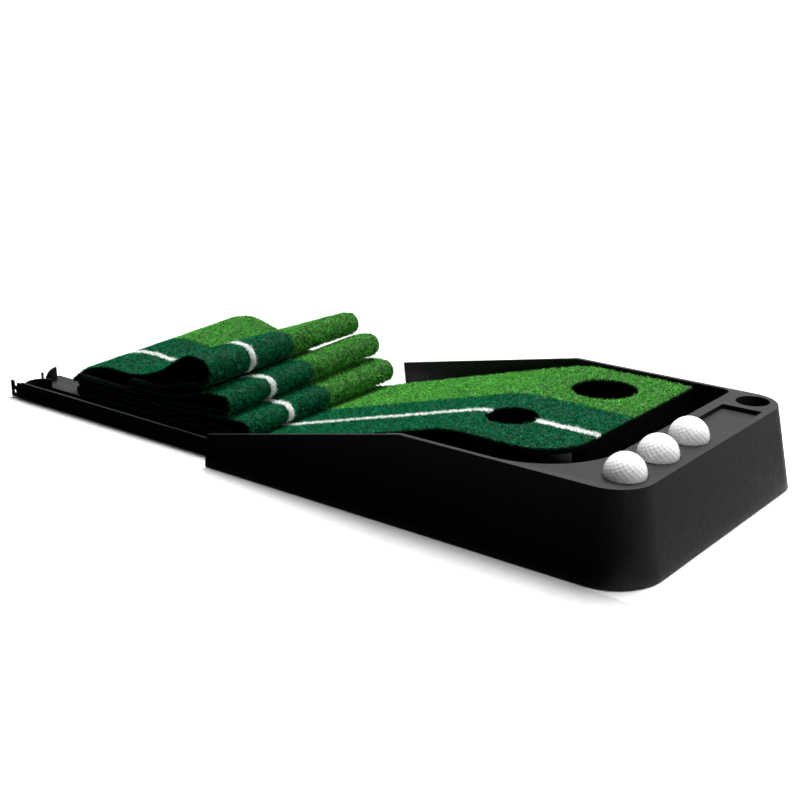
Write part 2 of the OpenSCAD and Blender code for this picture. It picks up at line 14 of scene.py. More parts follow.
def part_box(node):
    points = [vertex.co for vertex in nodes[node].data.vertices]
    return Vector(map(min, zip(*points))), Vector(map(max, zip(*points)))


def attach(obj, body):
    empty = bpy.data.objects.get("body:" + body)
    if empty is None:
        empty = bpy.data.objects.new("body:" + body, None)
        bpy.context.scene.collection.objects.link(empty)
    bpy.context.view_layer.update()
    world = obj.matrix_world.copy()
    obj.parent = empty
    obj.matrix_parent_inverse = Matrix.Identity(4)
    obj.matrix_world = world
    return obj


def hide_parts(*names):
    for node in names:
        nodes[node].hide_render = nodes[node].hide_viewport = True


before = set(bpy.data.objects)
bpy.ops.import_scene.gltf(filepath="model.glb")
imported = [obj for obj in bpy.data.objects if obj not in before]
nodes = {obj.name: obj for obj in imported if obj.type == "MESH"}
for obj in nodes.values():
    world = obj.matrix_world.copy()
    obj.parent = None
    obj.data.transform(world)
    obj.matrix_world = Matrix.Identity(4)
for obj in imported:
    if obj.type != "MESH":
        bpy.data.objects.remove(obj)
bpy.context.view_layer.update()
chance = np.random.default_rng(18)
MM = 0.001
SAME_POINT = 1e-6                 # two places this near each other are one
housing_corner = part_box("housing_shell")[0]
row_origin = np.array([housing_corner.x, housing_corner.y, 0.0])


def row_frame(points):
    """Millimetres in the housing's own frame, as metres in the row frame."""
    return np.asarray(points, float) * MM + row_origin


# ------------------------------------------------------------------------------------- materials

NOISE_LOW, NOISE_HIGH = 0.35, 0.65    # nearly all of a noise texture's values lie between these


class Surface:
    """A Principled material with procedural detail in object coordinates."""

    def __init__(self, name, colour, roughness, specular=0.5):
        self.material = bpy.data.materials.new(name)
        self.material.use_nodes = True
        self.tree = self.material.node_tree
        self.shader = self.tree.nodes["Principled BSDF"]
        self.set("Base Color", (*colour, 1))
        self.set("Roughness", roughness)
        self.set("Specular IOR Level", specular)
        self.place = self.add("ShaderNodeTexCoord").outputs["Object"]

    def add(self, kind, **settings):
        node = self.tree.nodes.new(kind)
        for key, value in settings.items():
            setattr(node, key, value)
        return node

    def link(self, source, target):
        self.tree.links.new(source, target)

    def set(self, socket, value):
        self.shader.inputs[socket].default_value = value

    def noise(self, scale, detail, stretch=(1, 1, 1)):
        """Noise with the given number of lumps per metre, drawn out along an axis by stretch."""
        mapping = self.add("ShaderNodeMapping")
        mapping.inputs["Scale"].default_value = stretch
        self.link(self.place, mapping.inputs["Vector"])
        texture = self.add("ShaderNodeTexNoise")
        texture.inputs["Scale"].default_value = scale
        texture.inputs["Detail"].default_value = detail
        self.link(mapping.outputs["Vector"], texture.inputs["Vector"])
        return texture.outputs["Fac"]

    def value(self, name):
        """A number that the mesh holds for each point."""
        return self.add("ShaderNodeAttribute", attribute_name=name).outputs["Fac"]

    def colours(self, source, stops):
        """The surface's colours along source, from (place, colour) pairs."""
        ramp = self.add("ShaderNodeValToRGB")
        elements = ramp.color_ramp.elements
        while len(elements) < len(stops):
            elements.new(0.5)
        for element, (place, colour) in zip(elements, stops):
            element.position = place
            element.color = (*colour, 1)
        self.link(source, ramp.inputs["Fac"])
        self.link(ramp.outputs["Color"], self.shader.inputs["Base Color"])

    def uneven_gloss(self, source, low, high):
        """Roughness from low to high, as the noise in source goes through its range."""
        span = self.add("ShaderNodeMapRange")
        span.inputs["From Min"].default_value = NOISE_LOW
        span.inputs["From Max"].default_value = NOISE_HIGH
        span.inputs["To Min"].default_value = low
        span.inputs["To Max"].default_value = high
        self.link(source, span.inputs["Value"])
        self.link(span.outputs["Result"], self.shader.inputs["Roughness"])

    def bump(self, source, height, strength):
        """Bumps of the given height in metres."""
        node = self.add("ShaderNodeBump")
        node.inputs["Distance"].default_value = height
        node.inputs["Strength"].default_value = strength
        self.link(source, node.inputs["Height"])
        self.link(node.outputs["Normal"], self.shader.inputs["Normal"])


def shades(colour, *factors):
    """The colour at each factor of its brightness."""
    return [tuple(min(1, c * f) for c in colour) for f in factors]


def moulded_plastic(name, colour, roughness, specular=0.2):
    """Black ABS with a fine moulded grain, drawn out a little along the wall's draft."""
    surface = Surface(name, colour, roughness, specular)
    grain = surface.noise(900, 2, stretch=(1, 1, 0.45))
    dark, middle, light = shades(colour, 0.6, 1, 1.9)
    surface.colours(grain, [(0.38, dark), (0.52, middle), (0.66, light)])
    surface.uneven_gloss(surface.noise(160, 3), roughness - 0.03, roughness + 0.04)
    surface.bump(grain, 0.00012, 0.5)
    return surface.material


def turf_material(name, colour, glint_colour, depth=(0.06, 0.4)):
    """Pile: each blade has its own tone, with painted shade that darkens it towards its root; now and
    then the brightest tip takes a painted glint colour.
    """
    surface = Surface(name, colour, 0.6, specular=0.05)
    # depth sets how dark a blade is at its root and low down: painted shade inside the pile
    root, dark, usual, pale = shades(colour, *depth, 1.0, 1.6)
    tone = surface.value("tone")
    # the last colour, at the top of the tones, is a painted glint on the brightest tips
    surface.colours(tone, [(0.0, root), (0.25, dark), (0.6, usual), (0.9, pale), (1.0, glint_colour)])
    surface.uneven_gloss(surface.noise(500, 2), 0.5, 0.68)
    return surface.material


def turf_base_material(name, colour, depth=(0.04, 0.15, 0.45)):
    """The dense foot of the pile, seen between its blades, kept far darker than the blades as painted
    shade deep in the pile.
    """
    surface = Surface(name, colour, 0.8, specular=0.1)
    lumps = surface.noise(420, 3)
    # the foot at a fraction of the pile's colour: painted shade between the blades
    dark, middle, light = shades(colour, *depth)
    surface.colours(lumps, [(0.35, dark), (0.5, middle), (0.68, light)])
    surface.bump(lumps, 0.0012, 0.8)
    return surface.material


def rubber_material(name, colour, roughness=0.7, specular=0.2):
    """Rubber, foam or tape with fine pores and a slightly uneven gloss."""
    surface = Surface(name, colour, roughness, specular)
    pores = surface.noise(700, 3)
    dark, middle, light = shades(colour, 0.5, 1, 1.6)
    surface.colours(pores, [(0.36, dark), (0.5, middle), (0.66, light)])
    surface.uneven_gloss(surface.noise(60, 3), roughness - 0.08, roughness + 0.1)
    surface.bump(pores, 0.0002, 0.6)
    return surface.material


def steel_material():
    """Zinc-plated steel, drawn out along one axis as if brushed."""
    surface = Surface("zinc_plated_steel", (0.55, 0.55, 0.57), 0.32)
    surface.set("Metallic", 1.0)
    brushed = surface.noise(900, 3, stretch=(1, 1, 0.1))
    surface.colours(brushed, [(0.35, (0.42, 0.42, 0.43)), (0.65, (0.66, 0.66, 0.69))])
    surface.uneven_gloss(brushed, 0.25, 0.42)
    surface.bump(brushed, 0.00004, 0.5)
    return surface.material


def ball_material():
    """Lacquered white ionomer: barely uneven in colour, with a clear coat."""
    surface = Surface("white_ball_cover", (0.87, 0.87, 0.86), 0.3)
    surface.colours(surface.noise(90, 3), [(0.35, (0.84, 0.84, 0.83)), (0.65, (0.9, 0.9, 0.89))])
    surface.uneven_gloss(surface.noise(200, 3), 0.24, 0.34)
    surface.set("Coat Weight", 0.5)
    surface.set("Coat Roughness", 0.08)
    surface.bump(surface.noise(1500, 2), 0.00001, 0.3)
    return surface.material


SHELL_BLACK = (0.0052, 0.0046, 0.0068)
PANEL_BLACK = (0.0022, 0.0022, 0.0026)
DARK_GREEN = (0.0, 0.235, 0.088)
LIGHT_GREEN = (0.145, 0.58, 0.095)
WHITE_PILE = (0.95, 0.97, 0.95)
# the white line's foot, a little darker than its blades as painted shade
WHITE_PILE_FOOT = (0.9, 0.93, 0.9)
# painted glint colours, which the brightest blade tips of each pile take
DARK_GREEN_GLINT = (0.15, 0.8, 0.5)
LIGHT_GREEN_GLINT = (0.7, 0.95, 0.25)
WHITE_GLINT = (1, 1, 1)
FOOT_BLACK = (0.014, 0.014, 0.014)
BACKING_BLACK = (0.003, 0.003, 0.003)
TAPE_BLACK = (0.01, 0.01, 0.01)
CORE_GREY = (0.1, 0.1, 0.12)
shell_plastic = moulded_plastic("black_shell_plastic", SHELL_BLACK, 0.5)
panel_plastic = moulded_plastic("black_panel_plastic", PANEL_BLACK, 0.6, specular=0.1)
steel = steel_material()
foot_rubber = rubber_material("foot_rubber", FOOT_BLACK)
backing_rubber = rubber_material("foamed_backing_rubber", BACKING_BLACK, 0.9, specular=0.05)
hook_fabric = rubber_material("woven_hook_tape", TAPE_BLACK, 0.8)
core_rubber = rubber_material("moulded_core_rubber", CORE_GREY, 0.5)
ball_white = ball_material()
turf = {
    "dark": turf_material("dark_green_pile", DARK_GREEN, DARK_GREEN_GLINT),
    "light": turf_material("light_green_pile", LIGHT_GREEN, LIGHT_GREEN_GLINT),
    # the white pile gets a lighter painted root shade
    "white": turf_material("white_pile", WHITE_PILE, WHITE_GLINT, depth=(0.85, 0.95)),
}
# each foot is dimmed as painted shade; the white foot less, so the line stays bright
turf_base = {
    "dark": turf_base_material("dark_green_pile_foot", DARK_GREEN),
    "light": turf_base_material("light_green_pile_foot", LIGHT_GREEN),
    "white": turf_base_material("white_pile_foot", WHITE_PILE_FOOT, (0.55, 0.75, 0.95)),
}


# ------------------------------------------------------------------------------- meshes and pieces

FLAT_ANGLE = 0.6                  # degrees: faces that meet flatter than this become one
SHARP_ANGLE = 32                  # degrees: edges sharper than this are rounded
EDGE_SEGMENTS = 3


def placed(name, data):
    """A new object in the scene."""
    thing = bpy.data.objects.new(name, data)
    bpy.context.scene.collection.objects.link(thing)
    return thing


def new_piece(name, points, faces, material, body, smooth=True):
    """A mesh object from points in the row frame's metres, riding on a body."""
    mesh = bpy.data.meshes.new(name)
    mesh.from_pydata(np.asarray(points).tolist(), [], faces)
    mesh.polygons.foreach_set("use_smooth", [smooth] * len(mesh.polygons))
    mesh.materials.append(material)
    mesh.update()
    piece = placed(name, mesh)
    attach(piece, body)
    return piece


def moulding(node, name, material, body, slot, edge):
    """Stands for a CAD node, with the same faces and its sharp edges rounded to the radius edge."""
    form = bmesh.new()
    form.from_mesh(nodes[node].data)
    bmesh.ops.remove_doubles(form, verts=form.verts, dist=SAME_POINT)
    bmesh.ops.dissolve_limit(
        form, angle_limit=math.radians(FLAT_ANGLE), verts=form.verts, edges=form.edges
    )
    mesh = bpy.data.meshes.new(name)
    form.to_mesh(mesh)
    form.free()
    mesh.polygons.foreach_set("use_smooth", [True] * len(mesh.polygons))
    mesh.materials.clear()
    mesh.materials.append(material)
    piece = placed(name, mesh)
    bevel = piece.modifiers.new("rounded edges", "BEVEL")
    bevel.width = edge * MM
    bevel.segments = EDGE_SEGMENTS
    bevel.limit_method = "ANGLE"
    bevel.angle_limit = math.radians(SHARP_ANGLE)
    bevel.harden_normals = True
    bevel.miter_outer = "MITER_ARC"
    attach(piece, body)
    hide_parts(node)
    return piece


# ------------------------------------------------------------------------------------ mat's path

GREEN_Z = 90.5                    # the green panel's top, on which the mat's back lies
RAMP_FOOT_Z = 7
CREST_R = 150
CREST_STEPS = 16
MAT_END_X = 437
MAT_NEAR_Y = 66
MAT_W = 288
MAT_CORNER_R = 57
BACKING_T = 2
PILE_T = 5
MAT_T = BACKING_T + PILE_T
MID = MAT_T / 2
SMALL_HOLE = (331, 141, 30)       # X, Y and radius
LARGE_HOLE = (362.5, 283.5, 38.5)
LINE_W = 10
LINE_V = 77 / MAT_W               # V goes from 0 at the mat's near edge to 1 at its far edge
LINE_FROM = LINE_V - LINE_W / 2 / MAT_W
LINE_TO = LINE_V + LINE_W / 2 / MAT_W
TONE_V = 151 / MAT_W
PLANES_MEET_X = 299
RAMP_ANGLE = math.atan2(GREEN_Z - RAMP_FOOT_Z, PLANES_MEET_X)
CREST_X = PLANES_MEET_X + CREST_R * math.tan(RAMP_ANGLE / 2)

# The mat as the frame has it: X and Z of its middle along its near and its far edge. Noses are X, Z
# and radius of the folds' right ends, heights are Z of the layers at their left turns, lead is the
# run under the folds and top is the layer that ends loose.
TURN_R = 3.8
TURN_X = (-303, -301, -198)
LEVEL_TO_X = -150                 # a layer that comes back is level to the left of this
RISE_FROM_X = (-60, -145, -164)   # a layer that goes out is level to the left of this
FLAT_SPACING = 3.4
UNDER_FOLDS_X = (-130, -200)
LEAD_STEPS = (5, 6, 8, 18, 18)
NOSE_STEPS = 26
TURN_STEPS = 12
LAYER_STEPS = 40
TOP_STEPS = 9
TOP_RUN_IN = 20
TOP_SKEW = 12                     # how far the loose end slides towards the far side
NEAR = {
    "heights": (12.9, 20.5, 27.6, 35.2, 42.3, 49.9),
    "noses": ((-1, 27.3, 8.5), (-33, 52.5, 10), (-72, 86, 16.5)),
    "lead": ((-15, 9.9), (-35, 11), (-60, 12.9)),
    "top": (
        (-72, 102.5), (-86, 103.3), (-99, 99.5), (-112, 92.5), (-127, 84), (-145, 73.5),
        (-174, 62), (-210, 55.5), (-247, 55), (-277, 50.5), (-304, 42.3), (-332, 24),
    ),
}
FAR = {
    "heights": (3.8, 11.4, 18.7, 26.3, 33.6, 41.2),
    "noses": ((-15, 31, 13), (-39, 63.5, 12.5), (-75, 87.5, 12.5)),
    "lead": ((-15, 6.4), (-35, 3.8), (-60, 3.8)),
    "top": (
        (-75, 100), (-86, 98), (-96, 94), (-116, 83.5), (-138, 71), (-160, 60),
        (-190, 52), (-222, 51), (-250, 57), (-276, 60.5), (-306, 54.5), (-337, 42),
    ),
}


def ease(t):
    """A smooth step from 0 to 1."""
    t = min(1, max(0, t))
    return t * t * (3 - 2 * t)


def around(x, z, r, start, end, steps):
    """Points of an arc about (x, z), from one angle in degrees to another."""
    angles = [math.radians(start + (end - start) * i / steps) for i in range(steps + 1)]
    return [(x + r * math.cos(a), z + r * math.sin(a)) for a in angles]


def between(a, b, spacing):
    """Points from a up to b, without b."""
    steps = max(1, round(math.dist(a, b) / spacing))
    return [tuple(np.add(a, np.subtract(b, a) * i / steps)) for i in range(steps)]


def layer(x0, z0, x1, z1, from_x):
    """A layer that is level from x0 to from_x and then eases to z1 at x1."""
    xs = [x0 + (x1 - x0) * i / LAYER_STEPS for i in range(1, LAYER_STEPS)]
    return [(x, z0 + (z1 - z0) * ease((x - from_x) / (x1 - from_x))) for x in xs]


def smooth(points, before):
    """A Catmull-Rom curve through the points, without the first."""
    p = [np.array(q, float) for q in (before, *points)]
    p.append(2 * p[-1] - p[-2])
    curve = []
    for a, b, c, d in zip(p, p[1:], p[2:], p[3:]):
        for k in range(1, TOP_STEPS + 1):
            t = k / TOP_STEPS
            curve.append(tuple(
                (2 * b + (c - a) * t + (2 * a - 5 * b + 4 * c - d) * t**2
                 + (3 * b - a - 3 * c + d) * t**3) / 2
            ))
    return curve


def fold(edge, k):
    """A left turn, the layer above it, the nose at its right end and the layer back."""
    x, z, r = edge["noses"][k]
    low, high = edge["heights"][2 * k], edge["heights"][2 * k + 1]
    points = around(TURN_X[k], low + TURN_R, TURN_R, -90, -270, TURN_STEPS)
    points += layer(TURN_X[k], high, x, z - r, RISE_FROM_X[k])
    points += around(x, z, r, -90, 90, NOSE_STEPS)
    if k < 2:
        points += layer(TURN_X[k + 1], edge["heights"][2 * k + 2], x, z + r, LEVEL_TO_X)[::-1]
    return points


def whole_edge(edge):
    """X and Z of the mat's middle along one edge, from the end on the green to the loose end."""
    foot = (-MID * math.sin(RAMP_ANGLE), RAMP_FOOT_Z + MID * math.cos(RAMP_ANGLE))
    crest_top = (CREST_X, GREEN_Z + MID)
    crest = around(
        CREST_X, GREEN_Z - CREST_R, CREST_R + MID, 90, 90 + math.degrees(RAMP_ANGLE), CREST_STEPS
    )
    points = between((MAT_END_X, GREEN_Z + MID), crest_top, FLAT_SPACING) + crest[:-1]
    points += between(crest[-1], foot, FLAT_SPACING)
    lead = [foot, *edge["lead"], *((x, edge["heights"][0]) for x in UNDER_FOLDS_X)]
    # a ruled stretch: the near and the far edge need the same number of points
    for (a, b), steps in zip(zip(lead, lead[1:]), LEAD_STEPS):
        points += [tuple(np.add(a, np.subtract(b, a) * i / steps)) for i in range(steps)]
    points.append(lead[-1])
    points += fold(edge, 0) + fold(edge, 1) + fold(edge, 2)
    start = edge["top"][0]
    return np.array(points + smooth(edge["top"], (start[0] + TOP_RUN_IN, start[1])))


near_line = whole_edge(NEAR)
far_line = whole_edge(FAR)
STATIONS = len(near_line)
TOP_STATIONS = (len(NEAR["top"]) - 1) * TOP_STEPS
station_slide = np.array(
    [TOP_SKEW * ease((i - (STATIONS - 1 - TOP_STATIONS)) / TOP_STATIONS) for i in range(STATIONS)]
)


def steps_along(line):
    """The direction of travel at each station."""
    padded = np.vstack([line[:1], line, line[-1:]])
    return padded[2:] - padded[:-2]


near_step, far_step = steps_along(near_line), steps_along(far_line)
middle_line = (near_line + far_line) / 2
run = np.concatenate([[0], np.cumsum(np.linalg.norm(np.diff(middle_line, axis=0), axis=1))])
mat_length = float(run[-1])


def at(values, station):
    """Values that each station has, read at a station number that need not be whole."""
    i = np.clip(np.floor(station).astype(int), 0, STATIONS - 2)
    t = (station - i)[..., None] if values.ndim > 1 else station - i
    return values[i] * (1 - t) + values[i + 1] * t


def mat_surface(station, v, height):
    """Places in the row frame at a height above the mat's back, with normals and travel."""
    v1 = v[..., None]
    middle = at(near_line, station) * (1 - v1) + at(far_line, station) * v1
    step = at(near_step, station) * (1 - v1) + at(far_step, station) * v1
    step /= np.linalg.norm(step, axis=-1, keepdims=True)
    normal = np.stack([step[..., 1], np.zeros_like(v), -step[..., 0]], -1)
    travel = np.stack([step[..., 0], np.zeros_like(v), step[..., 1]], -1)
    y = MAT_NEAR_Y + v * MAT_W + at(station_slide, station)
    place = np.stack([middle[..., 0], y, middle[..., 1]], -1) + normal * (height - MID)[..., None]
    return row_frame(place), normal, travel


# how far along the mat, from its end on the green, its holes and its corner are cut
green_reach = MAT_END_X - PLANES_MEET_X


def cut_plan(x, y):
    """Where the mat's holes and rounded corner move a point in plan, and whether it is cut away."""
    gone = np.zeros(x.shape, bool)
    for hole_x, hole_y, r in (SMALL_HOLE, LARGE_HOLE):
        dx, dy = x - hole_x, y - hole_y
        far = np.hypot(dx, dy)
        inside = far < r
        scale = np.where(inside, r / np.maximum(far, SAME_POINT), 1)
        x, y = hole_x + dx * scale, hole_y + dy * scale
        gone |= inside
    corner_x, corner_y = MAT_END_X - MAT_CORNER_R, MAT_NEAR_Y + MAT_CORNER_R
    dx, dy = x - corner_x, y - corner_y
    far = np.hypot(dx, dy)
    outside = (dx > 0) & (dy < 0) & (far > MAT_CORNER_R)
    scale = np.where(outside, MAT_CORNER_R / np.maximum(far, SAME_POINT), 1)
    return corner_x + dx * scale, corner_y + dy * scale, gone | outside


LUMP_ALONG, LUMP_DIAGONAL, LUMP_ACROSS = 1.9, 700, 1100     # how closely the foot's lumps follow


def mat_layer(name, v0, v1, low, high, spacing, material, lump=0.0):
    """A closed layer of the mat between two heights, across two fractions of its width."""
    columns = np.linspace(v0, v1, max(2, round((v1 - v0) * MAT_W / spacing) + 1))
    station, v = np.meshgrid(np.arange(STATIONS, dtype=float), columns, indexing="ij")
    along = run[station.astype(int)]
    waves = np.sin(along * LUMP_ALONG + v * LUMP_DIAGONAL) * np.sin(v * LUMP_ACROSS + station)
    lumps = lump * waves
    sheets = []
    level = along < green_reach
    for height in (np.full(v.shape, float(low)), high + lumps):
        place = mat_surface(station, v, height)[0]
        plan = (place - row_origin) / MM
        x, y, gone = cut_plan(plan[..., 0], plan[..., 1])
        place[..., 0] = np.where(level, x * MM + row_origin[0], place[..., 0])
        place[..., 1] = np.where(level, y * MM + row_origin[1], place[..., 1])
        sheets.append(place.reshape(-1, 3))
    gone &= level
    across = len(columns)
    corner = (np.arange(STATIONS - 1)[:, None] * across + np.arange(across - 1)).reshape(-1)
    quads = np.stack([corner, corner + 1, corner + across + 1, corner + across], 1)
    quads = quads[~gone.reshape(-1)[quads].all(1)]
    edges = np.concatenate([quads[:, [i, (i + 1) % 4]] for i in range(4)])
    count = STATIONS * across
    keys = set((edges[:, 0] * count + edges[:, 1]).tolist())
    rim = [(a, b) for a, b in edges.tolist() if b * count + a not in keys]
    faces = quads.tolist() + (quads[:, ::-1] + count).tolist()
    faces += [(b, a, a + count, b + count) for a, b in rim]
    piece = new_piece(name, np.concatenate(sheets), faces, material, "housing")
    tidy = bmesh.new()
    tidy.from_mesh(piece.data)
    loose = [p for p in tidy.verts if not p.link_faces]
    bmesh.ops.delete(tidy, geom=loose, context="VERTS")
    bmesh.ops.recalc_face_normals(tidy, faces=tidy.faces)
    tidy.to_mesh(piece.data)
    tidy.free()
    return piece


# ------------------------------------------------------------------------------------------ pile

ROOT = 0.6                        # the blades' roots above the backing
BLADE_H = (PILE_T - ROOT) * MM
BLADE_W = 0.55 * MM
BLADE_HEIGHTS = (0.82, 1.12)      # of BLADE_H
BLADE_WIDTHS = (0.7, 1.2)         # of BLADE_W
BLADE_TWIST = 0.5
BLADE_SPLAY = 0.42                # how far a tip leans out, for each millimetre of height
BLADE_BEND = 0.12
WAIST_H, WAIST_LEAN, WAIST_HALF_W = 0.55, 0.35, 0.45
BLADE_TONES = (0.2, 0.2, 0.85, 0.85, 1.1)     # two points at the root, two at the waist, the tip; the low root points are painted shade inside the pile
BLADE_TONE_SPREAD = 0.08
BLADES_PER_TUFT = 6
TUFT_SPREAD = 0.75
TUFT_TONE, TUFT_TONE_SPREAD = 0.58, 0.24
TUFT_AREA = 7.0                   # square millimetres of mat for each tuft
TUFTS = {                         # each colour's area for a tuft, and how ragged its edges are
    "dark": (TUFT_AREA, 0.3),
    "light": (TUFT_AREA, 0.3),
    "white": (TUFT_AREA * 0.6, 0.8),
}
HIDDEN_FROM_X = -45               # the run under the folds can't be seen past this
BELOW_NOSES = (32, 32, 36)        # how much can be seen of the layers below and above each nose
ABOVE_NOSES = (30, 42, 0)


def station_at(length):
    """The station number at a length along the mat."""
    return np.interp(length, run, np.arange(STATIONS))


def nose_span(k):
    """The stretch round a nose, with what can be seen of the layers below and above it."""
    x, z, r = (np.array(NEAR["noses"][k]) + np.array(FAR["noses"][k])) / 2
    far = np.hypot(middle_line[:, 0] - x - r, middle_line[:, 1] - z)
    tip = run[int(np.argmin(far))]
    half = math.pi * r / 2
    return tip - half - BELOW_NOSES[k], tip + half + ABOVE_NOSES[k]


def exposed_spans():
    """Lengths along the mat, from the green's end, between which its pile can be seen."""
    under_the_folds = int(np.argmax(middle_line[:, 0] < HIDDEN_FROM_X))
    return [
        (0, run[under_the_folds]),
        nose_span(0),
        nose_span(1),
        (nose_span(2)[0], mat_length),
    ]


def blades(place, normal, travel, tone):
    """Tapered, bent blades: points, faces and each point's tone."""
    n = len(place)
    turn = chance.uniform(0, 2 * math.pi, n)[:, None]
    side = np.cross(normal, travel)
    lean = np.cos(turn) * travel + np.sin(turn) * side
    flat = np.cross(normal, lean)
    twist = chance.normal(0, BLADE_TWIST, n)[:, None]
    flat = flat * np.cos(twist) + lean * np.sin(twist)
    reach = (np.abs(chance.normal(0, BLADE_SPLAY, n)) * BLADE_H)[:, None]
    bend = chance.normal(0, BLADE_BEND, (n, 3)) * BLADE_H
    tall = (BLADE_H * chance.uniform(*BLADE_HEIGHTS, n))[:, None]
    waist = place + normal * tall * WAIST_H + lean * reach * WAIST_LEAN + bend
    tip = place + normal * tall + lean * reach
    w = (BLADE_W * chance.uniform(*BLADE_WIDTHS, n))[:, None]
    waist_side = flat * w * WAIST_HALF_W
    points = np.stack(
        [place - flat * w / 2, place + flat * w / 2, waist + waist_side, waist - waist_side, tip], 1
    )
    first = np.arange(n)[:, None] * 5
    faces = (first + [0, 1, 2, 3]).tolist() + (first + [3, 2, 4]).tolist()
    # each blade's tone, darkened towards its root as painted shade
    tones = tone[:, None] * np.array(BLADE_TONES)
    return points.reshape(-1, 3), faces, tones.reshape(-1)


def pile(name, v0, v1, spans, colour):
    """The tufts of one colour over the given stretches of the mat."""
    tuft_area, ragged = TUFTS[colour]
    stations, columns = [], []
    for start, end in spans:
        n = int((end - start) * (v1 - v0) * MAT_W / tuft_area)
        stations.append(station_at(chance.uniform(start, end, n)))
        columns.append(chance.uniform(v0, v1, n) + chance.normal(0, ragged / MAT_W, n))
    station = np.clip(np.concatenate(stations), 0, STATIONS - 1)
    v = np.clip(np.concatenate(columns), 0.001, 0.999)
    tuft_tone = np.clip(chance.normal(TUFT_TONE, TUFT_TONE_SPREAD, len(v)), 0.1, 1.0)
    station = np.repeat(station, BLADES_PER_TUFT)
    v = np.repeat(v, BLADES_PER_TUFT)
    tone = np.repeat(tuft_tone, BLADES_PER_TUFT) + chance.normal(0, BLADE_TONE_SPREAD, len(v))
    place, normal, travel = mat_surface(station, v, np.full(v.shape, BACKING_T + ROOT))
    spot = chance.normal(0, TUFT_SPREAD, (len(v), 2)) * MM
    place += travel * spot[:, :1] + np.cross(normal, travel) * spot[:, 1:]
    plan = (place - row_origin) / MM
    gone = cut_plan(plan[:, 0], plan[:, 1])[2]
    keep = ~(gone & (at(run, station) < green_reach))
    points, faces, tones = blades(place[keep], normal[keep], travel[keep], tone[keep])
    piece = new_piece(name, points, faces, turf[colour], "housing", smooth=False)
    held = piece.data.attributes.new("tone", "FLOAT", "POINT")
    held.data.foreach_set("value", np.clip(tones, 0, 1).astype(np.float32))
    return piece


BACKING_SPACING = 5
FOOT_SPACING = 3
FOOT_BELOW_TIPS = 2.2
FOOT_LUMP = 0.25
BANDS = (                         # name, node, from and to V, colour, slot
    ("dark_edge", "dark_turf_edge", 0, LINE_FROM, "dark", "dark_turf"),
    ("white_line", "alignment_line", LINE_FROM, LINE_TO, "white", "white_turf"),
    ("dark_inner", "dark_turf_inner", LINE_TO, TONE_V, "dark", "dark_turf"),
    ("light", "light_turf", TONE_V, 1, "light", "light_turf"),
)


def build_mat():
    """The backing sheet, with the pile of each colour on it."""
    backing = mat_layer(
        "mat_backing_sheet", 0, 1, 0, BACKING_T, BACKING_SPACING, backing_rubber
    )
    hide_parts("mat_backing")
    spans = exposed_spans()
    parts = (
        ("on_housing", spans[:1]),
        ("on_lower_noses", spans[1:3]),
        ("on_top_layer", spans[3:]),
    )
    for name, node, v0, v1, colour, slot in BANDS:
        foot = mat_layer(
            f"{name}_pile_foot", v0, v1, BACKING_T, MAT_T - FOOT_BELOW_TIPS, FOOT_SPACING,
            turf_base[colour], FOOT_LUMP,
        )
        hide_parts(node)
        for part, stretch in parts:
            pile(f"{name}_pile_{part}", v0, v1, stretch, colour)


# ----------------------------------------------------------------------------------------- balls

BALL_SUBDIVISIONS = 6
DIMPLES = 332
DIMPLE_R = 1.95
DIMPLE_DEPTH = 0.24


def ball(number):
    """A golf ball with spherical dimples spread evenly over it."""
    low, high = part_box(f"ball_cover_{number}")
    centre = (low + high) / 2
    r = (high.z - low.z) / 2
    golden = math.pi * (3 - math.sqrt(5))
    dimples = KDTree(DIMPLES)
    for i in range(DIMPLES):
        z = 1 - (2 * i + 1) / DIMPLES
        across = math.sqrt(1 - z * z)
        turn = golden * i + number
        dimples.insert((across * math.cos(turn), across * math.sin(turn), z), i)
    dimples.balance()
    form = bmesh.new()
    bmesh.ops.create_icosphere(form, subdivisions=BALL_SUBDIVISIONS, radius=1)
    for point in form.verts:
        away = dimples.find(point.co)[2] * r / MM
        depth = DIMPLE_DEPTH * max(0, 1 - (away / DIMPLE_R) ** 2)
        point.co = centre + point.co.normalized() * (r - depth * MM)
    mesh = bpy.data.meshes.new(f"dimpled_ball_{number}")
    form.to_mesh(mesh)
    form.free()
    mesh.polygons.foreach_set("use_smooth", [True] * len(mesh.polygons))
    mesh.materials.append(ball_white)
    piece = placed(f"dimpled_ball_{number}", mesh)
    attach(piece, f"ball_{number}")
    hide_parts(f"ball_cover_{number}")


# --------------------------------------------------------------------------------------- mouldings

MOULDINGS = (                     # node, name, material, body, slot, radius of its edges
    ("housing_shell", "moulded_housing", shell_plastic, "housing", "shell_plastic", 1.1),
    ("ramp_deck", "moulded_ramp_deck", panel_plastic, "housing", "panel_plastic", 0.6),
    ("return_floor", "moulded_return_floor", panel_plastic, "housing", "panel_plastic", 0.5),
    ("track_rail", "moulded_track", shell_plastic, "track", "shell_plastic", 0.45),
    ("ball_stop", "moulded_ball_stop", panel_plastic, "stop", "panel_plastic", 0.5),
    ("rubber_feet", "moulded_feet", foot_rubber, "housing", "foot_rubber", 0.6),
    ("track_pads", "moulded_track_pads", foot_rubber, "track", "foot_rubber", 0.4),
    ("deck_screws", "domed_deck_screws", steel, "housing", "screw_steel", 0.5),
    ("floor_screws", "domed_floor_screws", steel, "housing", "screw_steel", 0.5),
    ("hook_strips", "woven_hook_strips", hook_fabric, "housing", "hook_tape", 0.2),
)


def recolour(node, material):
    """A CAD node that stays, with a better material."""
    nodes[node].data.materials.clear()
    nodes[node].data.materials.append(material)


# ------------------------------------------------------------------------------ floor, light, view


